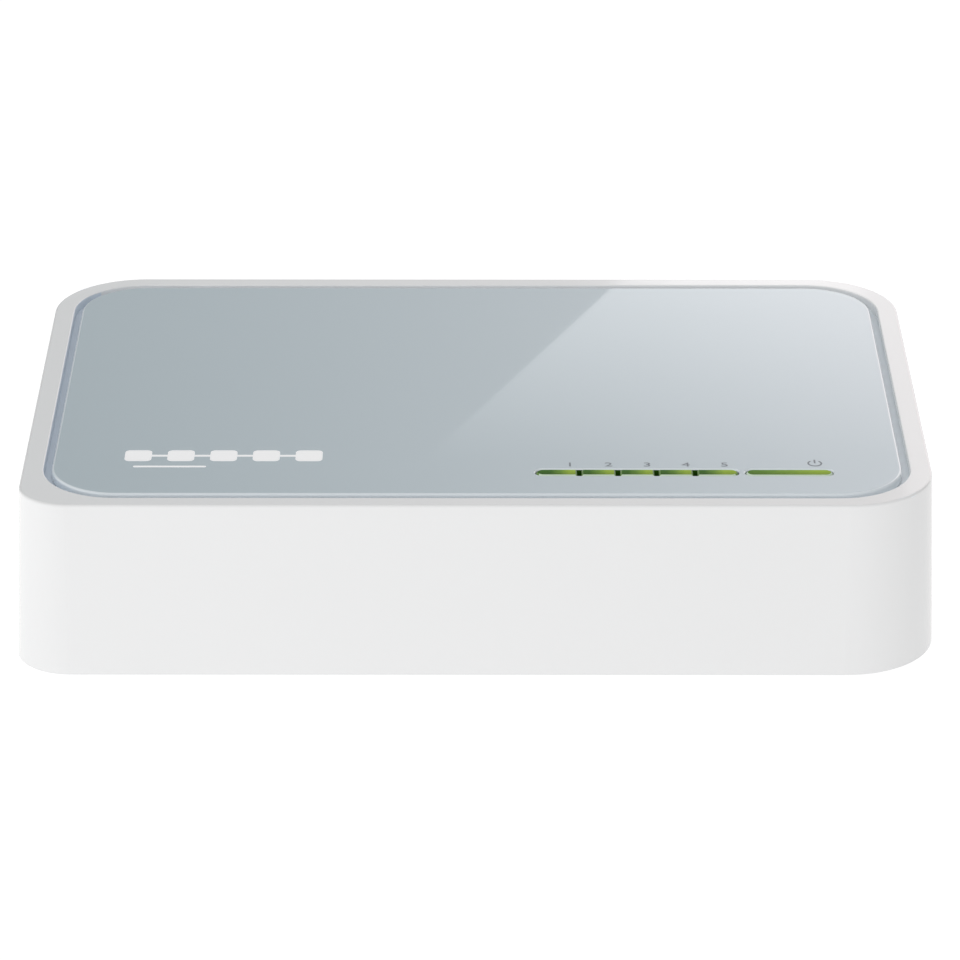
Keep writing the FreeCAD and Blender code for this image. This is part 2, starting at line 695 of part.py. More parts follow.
def make_dc_jack_terminals():
    """Three tails: the pin's, the leaf's, and the side one that a plug lifts the leaf away from."""
    plate_y = (19.55, 19.95)
    back_plate = box(span(JACK_X, 4.4), plate_y, (BOARD_TOP + 0.2, 15.9))
    back_tail = box(span(JACK_X, 2.2), plate_y, (TAIL_BOTTOM, BOARD_TOP + 0.3))
    shank_hole = rod_along_y(JACK_X, JACK_AXIS_Z, JACK_SHANK_RADIUS + PRESS_GAP, grown(plate_y, 0.5))
    back = back_plate.fuse(back_tail).cut(shank_hole)
    level = LEAF_AXIS_Z - LEAF_BEND
    path = [(LEAF_AXIS_Y + SPLIT_GAP, level), (25.5, level), (25.5, TAIL_BOTTOM)]
    leaf_tail = bent_strip(path, LEAF_THICKNESS, 2.2, 0.4, JACK_X)
    side_tail = box((JACK_X + 3.75, JACK_X + 4.15), span(27.0, 2.2), (TAIL_BOTTOM, 12.3))
    return group([single(back), leaf_tail, side_tail])


# ---------------------------------------------------------------- circuit board


def make_pcb():
    width, depth = BOARD_X[1] - BOARD_X[0], BOARD_Y[1] - BOARD_Y[0]
    centre = (sum(BOARD_X) / 2, sum(BOARD_Y) / 2)
    board = plate(width, depth, (BOARD_BOTTOM, BOARD_TOP), (1.0,) * 4, centre)
    z = (BOARD_BOTTOM - 1, BOARD_TOP + 1)
    holes = [post(x, y, 1.6, z) for x, y in BOARD_SCREW_POSTS]
    holes += [post(x, y, 1.15, z) for x, y in BOARD_PEG_POSTS]
    holes += [post(x, y, 1.55, z) for x, y in block_pegs()]
    for centre_x in port_centres():
        for i, x in enumerate(contact_xs()):
            holes.append(post(centre_x + x, TAIL_ROWS_Y[i % 2], 0.4, z))
    for y in (19.75, 25.5):
        holes.append(pill(span(JACK_X, 3.0), span(y, 0.9), z))
    holes.append(pill(span(JACK_X + 3.95, 0.9), span(27.0, 3.0), z))
    return single(board.cut(holes))


def gull_lead(reach, height, x):
    """One lead that leaves a package at the given height and lands on the board, towards +Y."""
    thickness, width = 0.15, 0.24
    foot = 0.6
    low = BOARD_TOP + thickness / 2
    path = [(0.0, height), (0.45 * (reach - foot) + 0.1, height), (reach - foot, low), (reach, low)]
    return bent_strip(path, thickness, width, 0.12, x)


def leads_round(half_x, half_y, reach, height, per_side, pitch, sides):
    """Rows of leads along the sides of a package centred on the origin; sides are turns in degrees."""
    leads = []
    for turn in sides:
        half = half_y if turn % 180 == 0 else half_x
        for i in range(per_side):
            lead = gull_lead(reach, height, (i - (per_side - 1) / 2) * pitch)
            lead.translate(V(0, half, 0))
            lead.rotate(V(0, 0, 0), V(0, 0, 1), turn)
            leads.append(lead)
    return leads


def placed(shapes, x, y):
    for shape in shapes:
        shape.translate(V(x, y, 0))
    return shapes


def make_switch_ic():
    z = (BOARD_TOP + 0.1, BOARD_TOP + 1.5)
    body = box(span(SWITCH_IC[0], SWITCH_IC_SIDE), span(SWITCH_IC[1], SWITCH_IC_SIDE), z)
    upright = [e for e in body.Edges if e.BoundBox.ZLength > 1]
    body = body.makeChamfer(0.4, upright)
    dot = post(SWITCH_IC[0] - 3.8, SWITCH_IC[1] - 3.8, 0.5, (z[1] - 0.1, z[1] + 1))
    return single(body.cut(dot))


def make_switch_ic_leads():
    half = SWITCH_IC_SIDE / 2
    leads = leads_round(half, half, 1.3, BOARD_TOP + 0.8, 16, 0.55, (0, 90, 180, 270))
    return group(placed(leads, *SWITCH_IC))


def small_package(x, y, size, height, per_side, pitch, turn=0):
    """A moulded package and its leads as one piece."""
    z = (BOARD_TOP + 0.12, BOARD_TOP + height)
    body = box(span(0, size[0]), span(0, size[1]), z)
    lead_z = z[0] + 0.4 * height
    half = (size[0] / 2, size[1] / 2 - OVERLAP)
    leads = leads_round(*half, 1.1 + OVERLAP, lead_z, per_side, pitch, (0, 180))
    part = single(body.fuse(leads))
    part.rotate(V(0, 0, 0), V(0, 0, 1), turn)
    part.translate(V(x, y, 0))
    return part


def make_crystal():
    """A quartz crystal in a pill-shaped can with a flange round its foot."""
    x, y, top = 6.6, -9.0, BOARD_TOP + 3.5
    can = pill(span(x, 4.2), span(y, 10.6), (BOARD_TOP, top))
    top_edges = [e for e in can.Edges if e.BoundBox.ZMin > top - TINY]
    can = can.makeFillet(0.5, top_edges)
    return single(can.fuse(pill(span(x, 4.8), span(y, 11.3), (BOARD_TOP, BOARD_TOP + 0.5))))


def make_inductor():
    """A drum-core coil: square foot, waist of wire and a round top."""
    x, y = 29.0, -10.0
    foot_top, waist_top = BOARD_TOP + 0.8, BOARD_TOP + 2.9
    foot = plate(7.0, 7.0, (BOARD_TOP, foot_top), (1.2,) * 4, (x, y))
    waist = post(x, y, 2.9, (foot_top, waist_top))
    top = post(x, y, 3.4, (waist_top, waist_top + 1.0))
    return single(foot.fuse([waist, top]))


def end_capped_block(x, y, length, width, height):
    """A moulded block with a bent metal tab at each end."""
    body = box(span(x, length), span(y, width), (BOARD_TOP + 0.1, BOARD_TOP + height))
    tab = box(span(x, length + 1.0), span(y, 0.6 * width), (BOARD_TOP, BOARD_TOP + 0.3))
    return single(body.fuse(tab))


def make_capacitor(x, y, radius, height):
    """A can on a square foot, with the groove round it that seals the can."""
    side, foot_top, top = 2 * radius + 0.3, BOARD_TOP + 0.7, BOARD_TOP + height
    foot = plate(side, side, (BOARD_TOP, foot_top), (0.8,) * 4, (x, y))
    can = post(x, y, radius, (foot_top, top))
    top_edge = [e for e in can.Edges if e.BoundBox.ZMin > top - TINY]
    can = can.makeFillet(0.4, top_edge)
    groove = Part.makeTorus(radius + 0.15, 0.4, V(x, y, foot_top + 1.0))
    return single(foot.fuse(can.cut(groove)))


def chip(x, y, height, turn):
    length, width = (1.6, 0.8) if turn == 0 else (0.8, 1.6)
    return box(span(x, length), span(y, width), (BOARD_TOP, BOARD_TOP + height))


def make_chip_resistors():
    """One row in front of the magnetics, and one series resistor beside each light."""
    height = 0.45
    chips = []
    for x in port_centres():
        chips += [chip(x + offset, 2.2, height, 90) for offset in (-4.5, -1.5, 1.5, 4.5)]
    chips += [chip(x, -20.6, height, 0) for x in light_positions()]
    return group(chips)


def make_chip_capacitors():
    """Rows round the switch chip, and one beside each magnetics module."""
    height = 0.8
    chips = []
    for i in range(6):
        chips.append(chip(SWITCH_IC[0] - 5.0 + 2.0 * i, SWITCH_IC[1] + 8.2, height, 90))
        chips.append(chip(SWITCH_IC[0] - 5.0 + 2.0 * i, SWITCH_IC[1] - 8.2, height, 90))
        chips.append(chip(SWITCH_IC[0] - 8.6, SWITCH_IC[1] - 5.0 + 2.0 * i, height, 0))
    chips += [chip(x + PORT_PITCH / 2, MAGNETICS_Y, height, 90) for x in port_centres()]
    return group(chips)


def make_magnetics(x):
    return small_package(x, MAGNETICS_Y, (12.2, 6.6), 5.6, 8, 1.27)


def placed_along_x(shape, x):
    moved = shape.copy()
    moved.translate(V(x, 0, 0))
    return moved


def build():
    """Every sub-part by name."""
    parts = {
        "top_cover": make_top_cover(),
        "top_panel": make_top_panel(),
        "panel_adhesive": make_panel_adhesive(),
        "base_cover": make_base_cover(),
        "rating_label": make_rating_label(),
        "case_screws": make_case_screws(),
        "pcb_screws": make_pcb_screws(),
        "port_light_guide": make_port_light_guide(),
        "power_light_guide": make_power_light_guide(),
        "led_light_baffle": make_led_light_baffle(),
        "pcb": make_pcb(),
        "rj45_housing": make_rj45_housing(),
        "dc_jack_housing": make_dc_jack_housing(),
        "dc_jack_center_pin": make_dc_jack_center_pin(),
        "dc_jack_spring": make_dc_jack_spring(),
        "dc_jack_terminals": make_dc_jack_terminals(),
        "switch_ic": make_switch_ic(),
        "switch_ic_leads": make_switch_ic_leads(),
        "crystal": make_crystal(),
        "eeprom": small_package(-22.0, -9.0, (4.9, 3.9), 1.6, 4, 1.27),
        "regulator_ic": small_package(19.5, -10.5, (4.9, 3.9), 1.6, 4, 1.27, 90),
        "inductor": make_inductor(),
        "rectifier_diode": end_capped_block(33.8, 16.4, 4.3, 2.6, 2.2),
        "fuse": end_capped_block(33.8, 11.6, 4.5, 3.2, 1.4),
        "capacitor_input": make_capacitor(36.6, 3.2, 4.0, 10.2),
        "capacitor_output": make_capacitor(20.5, -2.2, 3.15, 5.8),
        "capacitor_core": make_capacitor(-31.0, -8.5, 3.15, 5.8),
        "chip_resistors": make_chip_resistors(),
        "chip_capacitors": make_chip_capacitors(),
    }
    for name, (x, y) in FEET.items():
        parts[name] = make_foot(x, y)
    insert = one_insert()
    pins = group(fixed_contacts(0.0))
    springs = group(spring_contacts())
    for number, x in enumerate(port_centres(), 1):
        parts[f"port_{number}_insert"] = placed_along_x(insert, x)
        parts[f"port_{number}_contact_pins"] = placed_along_x(pins, x)
        parts[f"port_{number}_contact_springs"] = placed_along_x(springs, x)
        parts[f"magnetics_{number}"] = make_magnetics(x)
    for name, x in zip([f"led_{n + 1}" for n in range(PORTS)] + ["led_power"], light_positions()):
        parts[name] = make_led(x)
    return parts


os.makedirs("parts", exist_ok=True)
for name, shape in build().items():
    if not shape.isValid():
        raise ValueError(f"{name} isn't a valid shape")
    shape.exportStep(f"parts/{name}.step")
print("contact pivot (y, z):", CONTACT_AXIS_Y, CONTACT_AXIS_Z)
print("leaf pivot (y, z):", LEAF_AXIS_Y, LEAF_AXIS_Z)
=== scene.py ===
import math

import bmesh
import bpy
from mathutils import Matrix, Quaternion, Vector


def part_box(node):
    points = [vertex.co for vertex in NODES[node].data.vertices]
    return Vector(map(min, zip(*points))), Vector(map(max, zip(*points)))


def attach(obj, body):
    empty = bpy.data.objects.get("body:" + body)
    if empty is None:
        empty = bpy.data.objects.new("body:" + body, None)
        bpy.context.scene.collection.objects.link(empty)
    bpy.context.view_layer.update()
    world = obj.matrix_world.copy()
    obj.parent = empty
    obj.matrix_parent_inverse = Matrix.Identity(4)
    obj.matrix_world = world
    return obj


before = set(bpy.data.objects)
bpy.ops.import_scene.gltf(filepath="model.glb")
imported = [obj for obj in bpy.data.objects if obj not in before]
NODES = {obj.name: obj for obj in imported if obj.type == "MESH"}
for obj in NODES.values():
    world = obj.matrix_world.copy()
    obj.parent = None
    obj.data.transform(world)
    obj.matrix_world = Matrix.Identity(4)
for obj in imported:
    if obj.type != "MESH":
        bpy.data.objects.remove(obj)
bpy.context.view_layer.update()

# The looks of a five-port desktop network switch. Metres; MM turns millimetres into them.
MM = 0.001
BODY = "switch"

# Camera
CAMERA_AIM = Vector((0.424, -0.575, 9.964)) * MM
CAMERA_DISTANCE = 572.0 * MM
CAMERA_ELEVATION = math.radians(23.75)
CAMERA_YAW = math.radians(0.19)
CAMERA_ROLL = math.radians(0.12)
CAMERA_LENS_MM = 182.44

# The five port lights, which dark dividers part, and the power light
PORTS = 5
DIVIDER_FIRST_X = 11.46 * MM
DIVIDER_PITCH = 4.33 * MM
LIGHT_BEVEL = 0.18 * MM
LIGHT_DEPTH = 1.6 * MM  # across a light, front to back

# The groove between the case's rim and the top panel
GROOVE_WIDTH = 1.1 * MM
GROOVE_DEPTH = 1.2 * MM
GROOVE_HALF_LENGTH = 48 * MM

# Printed marks
INK_THICKNESS = 0.012 * MM
INK_CORNER = 0.01 * MM
DIGIT_STRETCH = 1.3  # the printed numbers are wider than the font's
DIGIT_HEIGHT = 1.1 * MM
DIGIT_CAP_SHARE = 0.72  # of the font's size, the height of a digit

# The light card behind the switch, which its gloss mirrors
CARD_Y = 1.6
CARD_REACH = 1.5
CARD_TOP = 1.6
STRIP_LEVEL = 1.45

# The floor
FLOOR_REACH = 6.0
FLOOR_SEEN_LEVEL = 0.84


# ---------------------------------------------------------------- node helpers


def node(tree, kind, inputs=None, output=0, **settings):
    """A new node with its settings, whose inputs, by name or number, are linked or set.

    It returns one of the node's outputs.
    """
    made = tree.nodes.new(kind)
    for name, value in settings.items():
        setattr(made, name, value)
    for key, value in (inputs or {}).items():
        if isinstance(value, bpy.types.NodeSocket):
            tree.links.new(value, made.inputs[key])
        else:
            made.inputs[key].default_value = value
    return made.outputs[output]


def set_surface(tree, kind, surface):
    """The tree's output node, with its surface linked."""
    tree.links.new(surface, tree.nodes.new(kind).inputs["Surface"])


def math_node(tree, operation, first, second=0.0, clamp=False):
    return node(tree, "ShaderNodeMath", {0: first, 1: second}, operation=operation, use_clamp=clamp)


def place(tree):
    """Where a point is in the object's own space, which is the row frame."""
    return node(tree, "ShaderNodeTexCoord", output="Object")


def axis_of(tree, vector, axis):
    return node(tree, "ShaderNodeSeparateXYZ", {0: vector}, output="XYZ".index(axis))


def noise(tree, size, detail=3.0, roughness=0.55, vector=None):
    """Soft noise from 0 to 1 whose features are about that size, in metres."""
    inputs = {
        "Vector": vector or place(tree),
        "Scale": 1 / size,
        "Detail": detail,
        "Roughness": roughness,
    }
    return node(tree, "ShaderNodeTexNoise", inputs)


def remap(tree, value, low, high, new_low=0.0, new_high=1.0):
    """value from low..high to new_low..new_high, held at both ends."""
    inputs = {0: value, 1: low, 2: high, 3: new_low, 4: new_high}
    return node(tree, "ShaderNodeMapRange", inputs)


def ramp(tree, factor, *colors):
    """A smooth run through evenly spaced colours."""
    made = tree.nodes.new("ShaderNodeValToRGB")
    elements = made.color_ramp.elements
    while len(elements) < len(colors):
        elements.new(0.5)
    for i, color in enumerate(colors):
        elements[i].position = i / (len(colors) - 1)
        elements[i].color = (*color, 1.0)
    tree.links.new(factor, made.inputs[0])
    return made.outputs[0]


def shades(color, spread):
    """A darker and a lighter shade of a colour."""
    return [tuple(min(1.0, c * (1 + side * spread)) for c in color) for side in (-1, 1)]


def new_material(name, color, roughness, **constants):
    """A Principled material.

    constants name its sockets, with _ for a space, and hold one value each.
    """
    material = bpy.data.materials.new(name)
    material.use_nodes = True
    shader = material.node_tree.nodes["Principled BSDF"]
    shader.inputs["Base Color"].default_value = (*color, 1.0)
    shader.inputs["Roughness"].default_value = roughness
    for key, value in constants.items():
        shader.inputs[key.replace("_", " ")].default_value = value
    return material


def socket(material, name):
    return material.node_tree.nodes["Principled BSDF"].inputs[name]


def link(material, name, output):
    material.node_tree.links.new(output, socket(material, name))


def add_tone(material, size, spread):
    """Lighter and darker patches of the base colour."""
    tree = material.node_tree
    color = tuple(socket(material, "Base Color").default_value)[:3]
    link(material, "Base Color", ramp(tree, noise(tree, size), *shades(color, spread)))


def add_gloss_change(material, size, spread):
    """Patches that are a little glossier or duller."""
    tree = material.node_tree
    middle = socket(material, "Roughness").default_value
    value = remap(tree, noise(tree, size), 0.3, 0.7, middle - spread, middle + spread)
    link(material, "Roughness", value)


def add_grain(material, size, depth, strength=1.0, detail=2.0):
    """Fine relief of about that size and depth, in metres."""
    tree = material.node_tree
    inputs = {"Height": noise(tree, size, detail), "Distance": depth, "Strength": strength}
    link(material, "Normal", node(tree, "ShaderNodeBump", inputs))


# ---------------------------------------------------------------- materials


def plastic(name, color, roughness, grain_size, grain_depth, tone=0.03, **constants):
    material = new_material(name, color, roughness, **constants)
    add_tone(material, 9 * MM, tone)
    add_gloss_change(material, 3 * MM, roughness * 0.2)
    add_grain(material, grain_size, grain_depth)
    return material


def metal(name, color, roughness, grain_size=0.25 * MM, grain_depth=0.002 * MM):
    material = new_material(name, color, roughness, Metallic=1.0)
    add_tone(material, 1.5 * MM, 0.05)
    add_gloss_change(material, 0.8 * MM, roughness * 0.3)
    add_grain(material, grain_size, grain_depth)
    return material


def make_case_white():
    """Glossy white ABS: almost even, with the faintest ripple that moulded plastic has."""
    return plastic(
        "case_white", (0.88, 0.883, 0.885), 0.09, 2.5 * MM, 0.0006 * MM, tone=0.006,
        IOR=1.5, Coat_Weight=0.6, Coat_Roughness=0.03, Coat_IOR=1.5,
    )


def make_base_white():
    """The same plastic from a spark-eroded mould."""
    return plastic(
        "base_white", (0.84, 0.845, 0.85), 0.42, 0.22 * MM, 0.012 * MM, tone=0.01, IOR=1.5
    )


def make_panel_silver():
    """Silver-grey plastic with very fine metallic flake under a clear gloss."""
    material = new_material(
        "panel_silver", (0.50, 0.585, 0.63), 0.3, Metallic=0.3, IOR=1.45,
        Coat_Weight=1.0, Coat_Roughness=0.015, Coat_IOR=1.5,
    )
    tree = material.node_tree
    flake = noise(tree, 0.05 * MM, 1.0)
    cloud = noise(tree, 14 * MM, 2.0)
    flake_share = math_node(tree, "MULTIPLY", flake, 0.7)
    cloud_share = math_node(tree, "MULTIPLY", cloud, 0.3)
    tone = math_node(tree, "ADD", flake_share, cloud_share)
    link(material, "Base Color", ramp(tree, tone, (0.485, 0.57, 0.615), (0.515, 0.60, 0.645)))
    link(material, "Roughness", remap(tree, noise(tree, 0.3 * MM), 0.3, 0.7, 0.28, 0.32))
    return material


# The panel's rounded edge: its colour is painted lighter than the face as a painted highlight, and
# its coat gives it some real gloss too.
PANEL_EDGE_HIGHLIGHT = plastic(
    "panel_edge_painted_highlight", (0.80, 0.86, 0.90), 0.22, 0.2 * MM, 0.0008 * MM, tone=0.02,
    Metallic=0.1, Coat_Weight=0.35, Coat_Roughness=0.08,
)


def make_groove_grey():
    """White plastic painted greyer and bluer down in the groove as painted shade, more so at the
    left.
    """
    material = new_material(
        "groove_painted_shade", (0.77, 0.83, 0.88), 0.4, IOR=1.5, Specular_IOR_Level=0.15
    )
    tree = material.node_tree
    # Painted shade that lightens from left to right along x, with a little random speckle.
    x = axis_of(tree, place(tree), "X")
    across = remap(tree, x, -GROOVE_HALF_LENGTH, GROOVE_HALF_LENGTH)
    speckle = remap(tree, noise(tree, 0.5 * MM), 0.3, 0.7, -0.03, 0.03)
    tone = math_node(tree, "ADD", across, speckle)
    link(material, "Base Color", ramp(tree, tone, (0.70, 0.765, 0.84), (0.88, 0.93, 0.97)))
    add_gloss_change(material, 0.5 * MM, 0.04)
    return material


GROOVE_PAINTED_SHADE = make_groove_grey()

# Colours of the painted glow of a lit light, from its dark end to its lime end.
GUIDE_DARK = (0.042, 0.130, 0.009)
GUIDE_MID = (0.130, 0.255, 0.030)
GUIDE_LIME = (0.285, 0.420, 0.042)


def make_light_guide(name, phase_of):
    """Clear green plastic with the glow of a lit light painted in, dark at the left end of each
    light and lime at the right.
    """
    material = new_material(name, GUIDE_MID, 0.35, IOR=1.49, Specular_IOR_Level=0.04)
    tree = material.node_tree
    where = place(tree)
    phase = phase_of(tree, axis_of(tree, where, "X"))
    speckle = remap(tree, noise(tree, 0.6 * MM), 0.3, 0.7, -0.03, 0.03)
    stops = (GUIDE_DARK, GUIDE_DARK, GUIDE_MID, GUIDE_LIME, GUIDE_LIME)
    color = ramp(tree, math_node(tree, "ADD", phase, speckle), *stops)
    low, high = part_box("power_light_guide")
    middle, half = (low.y + high.y) / 2, LIGHT_DEPTH / 2
    # Painted shade: each light darkens towards its front.
    shade = remap(tree, axis_of(tree, where, "Y"), middle - half, middle + half, 0.65, 1.2)
    shaded = node(tree, "ShaderNodeHueSaturation", {"Color": color, "Value": shade})
    link(material, "Base Color", shaded)
    # The painted glow also feeds a faint emission, though no lamp lights the guide.
    link(material, "Emission Color", shaded)
    socket(material, "Emission Strength").default_value = 0.12
    add_gloss_change(material, 0.5 * MM, 0.05)
    return material


def port_phase(tree, x):
    """0 to 1 along each of the five port lights."""
    start = DIVIDER_FIRST_X - DIVIDER_PITCH
    count = math_node(tree, "DIVIDE", math_node(tree, "SUBTRACT", x, start), DIVIDER_PITCH)
    held = remap(tree, count, 0.001, PORTS - 0.001, 0.001, PORTS - 0.001)
    return math_node(tree, "FRACT", held)


def power_phase(tree, x):
    """0.35 to 0.85 along the power light, which has a shorter dark stretch."""
    low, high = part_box("power_light_guide")
    return remap(tree, x, low.x, high.x, 0.35, 0.85)


def make_label():
    """A blank silver film with a thin printed frame."""
    film = (0.72, 0.73, 0.74)
    margin = 1.0 * MM
    material = new_material("label_film", film, 0.35, Metallic=0.3)
    tree = material.node_tree
    low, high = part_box("rating_label")
    centre, half = (low + high) / 2, (high - low) / 2
    where = place(tree)
    margins = []
    for axis, middle, reach in (("X", centre.x, half.x), ("Y", centre.y, half.y)):
        from_middle = math_node(tree, "SUBTRACT", axis_of(tree, where, axis), middle)
        off = math_node(tree, "ABSOLUTE", from_middle)
        margins.append(math_node(tree, "SUBTRACT", reach, off))
    edge = math_node(tree, "MINIMUM", *margins)
    near = math_node(tree, "ABSOLUTE", math_node(tree, "SUBTRACT", edge, margin))
    line = remap(tree, near, 0.10 * MM, 0.14 * MM, 1.0, 0.0)
    link(material, "Base Color", ramp(tree, line, film, (0.20, 0.21, 0.22)))
    add_grain(material, 0.15 * MM, 0.002 * MM)
    return material


def make_board():
    """Green solder mask over copper tracks and a faint weave."""
    material = new_material("board_green", (0.015, 0.16, 0.06), 0.32, IOR=1.55)
    tree = material.node_tree
    where = place(tree)
    wave_inputs = {
        "Vector": where,
        "Scale": 1 / (3.2 * MM),
        "Distortion": 2.5,
        "Detail": 1.0,
        "Detail Scale": 0.8,
    }
    tracks = node(tree, "ShaderNodeTexWave", wave_inputs, output=1, bands_direction="DIAGONAL")
    copper = remap(tree, tracks, 0.55, 0.62)
    weave = noise(tree, 0.4 * MM)
    copper_share = math_node(tree, "MULTIPLY", copper, 0.75)
    weave_share = math_node(tree, "MULTIPLY", weave, 0.25)
    shade = math_node(tree, "ADD", copper_share, weave_share)
    mask = ramp(tree, shade, (0.010, 0.105, 0.040), (0.025, 0.215, 0.085))
    link(material, "Base Color", mask)
    inputs = {"Height": copper, "Distance": 0.03 * MM, "Strength": 0.8}
    link(material, "Normal", node(tree, "ShaderNodeBump", inputs))
    return material


def make_capacitor_can():
    """Drawn aluminium with fine turning lines."""
    material = metal("capacitor_can", (0.78, 0.79, 0.80), 0.28)
    tree = material.node_tree
    inputs = {"Vector": place(tree), "Scale": 1 / (0.5 * MM), "Distortion": 0.2}
    rings = node(tree, "ShaderNodeTexWave", inputs, output=1, bands_direction="Z")
    bump = {"Height": rings, "Distance": 0.01 * MM, "Strength": 0.4}
    link(material, "Normal", node(tree, "ShaderNodeBump", bump))
    return material


def make_copper_wire():
    material = metal("copper_wire", (0.72, 0.34, 0.17), 0.3)
    tree = material.node_tree
    inputs = {"Vector": place(tree), "Scale": 1 / (0.9 * MM), "Distortion": 0.3}
    turns = node(tree, "ShaderNodeTexWave", inputs, output=1, bands_direction="Z")
    bump = {"Height": turns, "Distance": 0.12 * MM, "Strength": 0.9}
    link(material, "Normal", node(tree, "ShaderNodeBump", bump))
    return material


CASE_WHITE = make_case_white()
BASE_WHITE = make_base_white()
PANEL_SILVER = make_panel_silver()
PORT_GUIDE_GLOW = make_light_guide("port_guide_painted_glow", port_phase)
POWER_GUIDE_GLOW = make_light_guide("power_guide_painted_glow", power_phase)
# Painted highlight: the pale colour of the bevels round the lights' tops.
GUIDE_EDGE_HIGHLIGHT = plastic("guide_edge_painted_highlight", (0.66, 0.80, 0.62), 0.3, 0.2 * MM, 0.002 * MM, tone=0.08)
# Painted highlight, fainter and greener: the lighter colour of the dividers' bevels between the
# port lights.
GUIDE_SIDE_HIGHLIGHT = plastic(
    "guide_side_painted_highlight", (0.17, 0.30, 0.08), 0.3, 0.2 * MM, 0.002 * MM, tone=0.08,
    Specular_IOR_Level=0.2,
)
# Painted shade: deep green for the guides below and between their tops, and for the port window's
# walls, where the gaps look dark.
GUIDE_PAINTED_SHADE = plastic(
    "guide_painted_shade", (0.035, 0.130, 0.006), 0.5, 0.2 * MM, 0.004 * MM, tone=0.1,
    Specular_IOR_Level=0.03,
)
ADHESIVE = plastic("adhesive_film", (0.62, 0.62, 0.58), 0.5, 0.4 * MM, 0.01 * MM)
BAFFLE_BLACK = plastic("baffle_black", (0.012, 0.012, 0.013), 0.6, 0.12 * MM, 0.01 * MM)
FOOT_RUBBER = plastic("foot_rubber", (0.045, 0.046, 0.05), 0.78, 0.18 * MM, 0.02 * MM, tone=0.12)
SCREW_STEEL = metal("screw_steel", (0.60, 0.61, 0.63), 0.32)
LABEL = make_label()
BOARD = make_board()
SOCKET_BLACK = plastic(
    "socket_black", (0.014, 0.014, 0.016), 0.38, 0.14 * MM, 0.006 * MM, tone=0.1
)
INSERT_BLACK = plastic(
    "insert_black", (0.020, 0.020, 0.022), 0.45, 0.14 * MM, 0.006 * MM, tone=0.1
)
CONTACT_GOLD = metal("contact_gold", (0.95, 0.66, 0.24), 0.2)
NICKEL = metal("jack_nickel", (0.70, 0.68, 0.64), 0.18)
PACKAGE_BLACK = plastic(
    "package_black", (0.022, 0.022, 0.025), 0.55, 0.10 * MM, 0.008 * MM, tone=0.15
)
LEAD_TIN = metal("lead_tin", (0.72, 0.72, 0.71), 0.35)
CAN_STEEL = metal("crystal_can", (0.66, 0.66, 0.65), 0.24)
FERRITE = plastic("ferrite_grey", (0.07, 0.07, 0.075), 0.6, 0.2 * MM, 0.015 * MM, tone=0.15)
COPPER = make_copper_wire()
FUSE_GREEN = plastic("fuse_green", (0.06, 0.20, 0.11), 0.4, 0.2 * MM, 0.008 * MM)
CAPACITOR_CAN = make_capacitor_can()
CAPACITOR_FOOT = plastic("capacitor_foot", (0.02, 0.02, 0.022), 0.5, 0.15 * MM, 0.008 * MM)
RESISTOR = plastic("resistor_black", (0.02, 0.02, 0.022), 0.3, 0.1 * MM, 0.004 * MM)
CERAMIC = plastic("ceramic_tan", (0.34, 0.23, 0.13), 0.4, 0.1 * MM, 0.004 * MM, tone=0.1)
LED_WHITE = plastic("led_body", (0.80, 0.80, 0.76), 0.35, 0.1 * MM, 0.003 * MM)
LED_LENS = plastic(
    "led_lens", (0.75, 0.78, 0.45), 0.12, 0.2 * MM, 0.002 * MM, Coat_Weight=0.5
)
INK_GREY = plastic("ink_grey", (0.20, 0.225, 0.25), 0.45, 0.1 * MM, 0.001 * MM)
# White print with a faint painted glow: the emission makes the ink brighter though it is no lamp.
INK_WHITE_GLOW = plastic(
    "ink_white_painted_glow", (0.95, 0.955, 0.96), 0.4, 0.1 * MM, 0.001 * MM, tone=0.01,
    Emission_Color=(1, 1, 1, 1), Emission_Strength=0.13,
)


# ---------------------------------------------------------------- materials on the CAD nodes


def dress(name, material, *others):
    """Gives a node its material.

    others are (material, test), for the faces whose centre and normal pass the test.
    """
    mesh = NODES[name].data
    mesh.materials.clear()
    mesh.materials.append(material)
    for other, test in others:
        mesh.materials.append(other)
        index = len(mesh.materials) - 1
        for face in mesh.polygons:
            if test(face.center, face.normal):
                face.material_index = index


def dress_plain():
    plain = {
        "panel_adhesive": ADHESIVE,
        "base_cover": BASE_WHITE,
        "rating_label": LABEL,
        "case_screws": SCREW_STEEL,
        "pcb_screws": SCREW_STEEL,
        "led_light_baffle": BAFFLE_BLACK,
        "pcb": BOARD,
        "rj45_housing": SOCKET_BLACK,
        "dc_jack_housing": SOCKET_BLACK,
        "dc_jack_center_pin": NICKEL,
        "dc_jack_spring": NICKEL,
        "dc_jack_terminals": NICKEL,
        "switch_ic": PACKAGE_BLACK,
        "switch_ic_leads": LEAD_TIN,
        "crystal": CAN_STEEL,
    }
    for corner in ("front_left", "front_right", "rear_right", "rear_left"):
        plain["foot_" + corner] = FOOT_RUBBER
    for number in range(1, PORTS + 1):
        plain[f"port_{number}_insert"] = INSERT_BLACK
        plain[f"port_{number}_contact_pins"] = CONTACT_GOLD
        plain[f"port_{number}_contact_springs"] = CONTACT_GOLD
    for name, material in plain.items():
        dress(name, material)


def dress_package(name, lead_reach, along):
    """A moulded package whose leads stand out by lead_reach along one axis."""
    low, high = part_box(name)
    axis = "XY".index(along)
    ends = (low[axis] + lead_reach, high[axis] - lead_reach)
    dress(name, PACKAGE_BLACK, (LEAD_TIN, lambda c, n: not ends[0] < c[axis] < ends[1]))


def dress_end_capped(name, body_material, reach):
    low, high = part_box(name)
    tabs = (low.x + reach, high.x - reach)
    dress(name, body_material, (LEAD_TIN, lambda c, n: not tabs[0] < c.x < tabs[1]))


